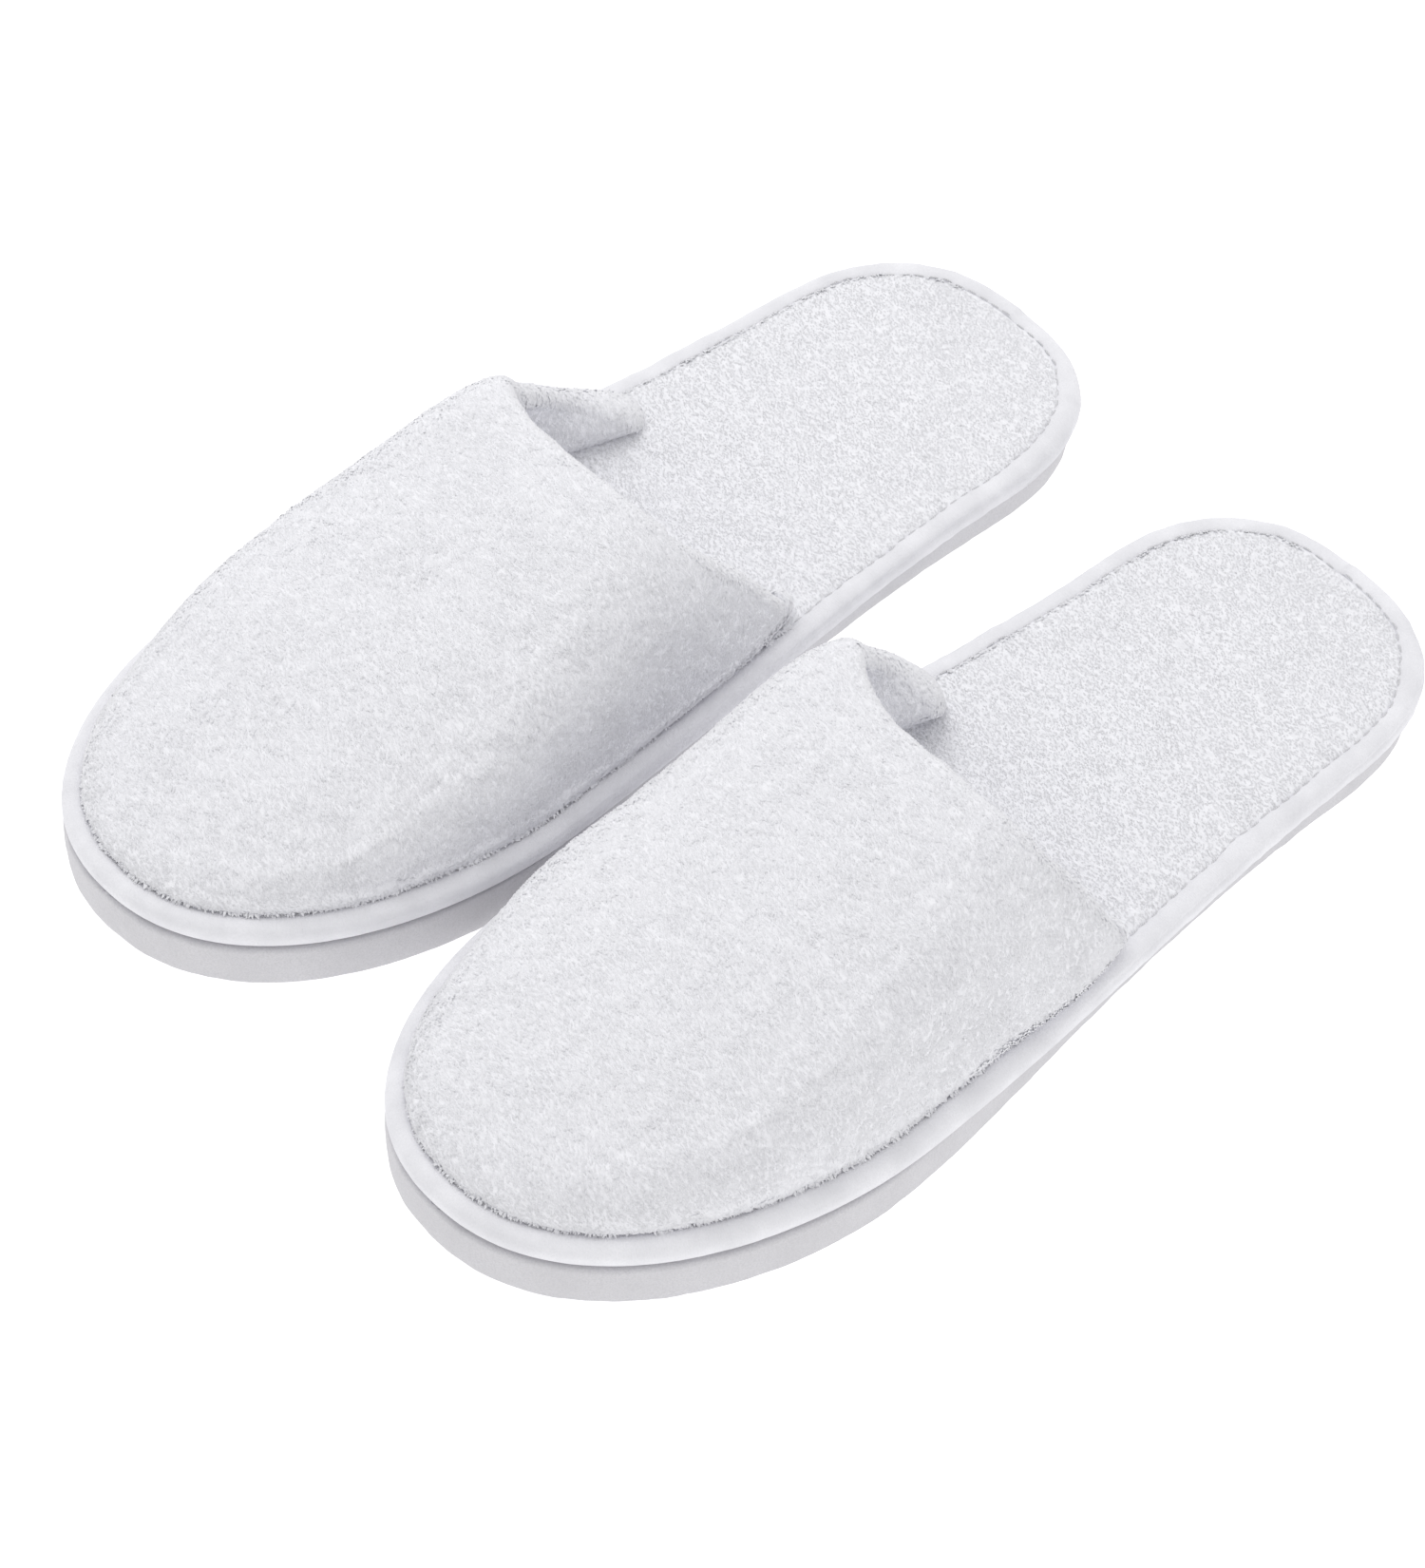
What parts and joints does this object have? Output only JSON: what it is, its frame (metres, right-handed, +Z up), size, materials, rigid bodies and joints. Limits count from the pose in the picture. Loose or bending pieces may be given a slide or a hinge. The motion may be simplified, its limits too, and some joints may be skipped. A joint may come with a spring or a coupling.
{
  "type": "pair of spa slippers",
  "caption": "Pair of closed-toe backless white plush spa slippers: padded vamp, plush footbed, sewn binding tape round the edge and a flexible foam outsole.",
  "frame": {"origin": "on the floor, midway between the two slippers and at mid length", "axes": "+Z up; the toes face -Y and the heels +Y; +X towards the wearer's left slipper"},
  "size_m": [0.2282, 0.2846, 0.0646],
  "materials": {
    "plush": "short cut-pile plush, matt, nap lying across the vamp",
    "tape": "smooth fine-woven tape, slight sheen",
    "eva_foam": "matt closed-cell foam with fine speckle",
    "fibre_board": "matt pressed fibre",
    "cushion_foam": "open-cell foam",
    "thread": "twisted polyester thread"
  },
  "bodies": {
    "right_forefoot": {"right_outsole_front": "eva_foam", "right_insole_board_front": "fibre_board", "right_insole_foam_front": "cushion_foam", "right_footbed_cover_front": "plush", "right_binding_tape_front": "tape", "right_binding_thread_front": "thread", "right_vamp_outer": "plush", "right_vamp_foam": "cushion_foam", "right_vamp_lining": "plush", "right_throat_hem_thread": "thread"},
    "right_heel": {"right_outsole_rear": "eva_foam", "right_insole_board_rear": "fibre_board", "right_insole_foam_rear": "cushion_foam", "right_footbed_cover_rear": "plush", "right_binding_tape_rear": "tape", "right_binding_thread_rear": "thread"},
    "left_forefoot": {"left_outsole_front": "eva_foam", "left_insole_board_front": "fibre_board", "left_insole_foam_front": "cushion_foam", "left_footbed_cover_front": "plush", "left_binding_tape_front": "tape", "left_binding_thread_front": "thread", "left_vamp_outer": "plush", "left_vamp_foam": "cushion_foam", "left_vamp_lining": "plush", "left_throat_hem_thread": "thread"},
    "left_heel": {"left_outsole_rear": "eva_foam", "left_insole_board_rear": "fibre_board", "left_insole_foam_rear": "cushion_foam", "left_footbed_cover_rear": "plush", "left_binding_tape_rear": "tape", "left_binding_thread_rear": "thread"}
  },
  "joints": [
    {"name": "right_heel_flex", "type": "hinge", "parent": "right_forefoot", "child": "right_heel", "pos_m": [-0.057, 0.0565, 0.0186], "axis": [1, 0, 0], "range_deg": [0, 40]},
    {"name": "left_slipper_lift", "type": "slide", "parent": "right_forefoot", "child": "left_forefoot", "axis": [0, 0, 1], "range_m": [0, 0.15]},
    {"name": "left_heel_flex", "type": "hinge", "parent": "left_forefoot", "child": "left_heel", "pos_m": [0.057, 0.0565, 0.0186], "axis": [1, 0, 0], "range_deg": [0, 40]}
  ]
}
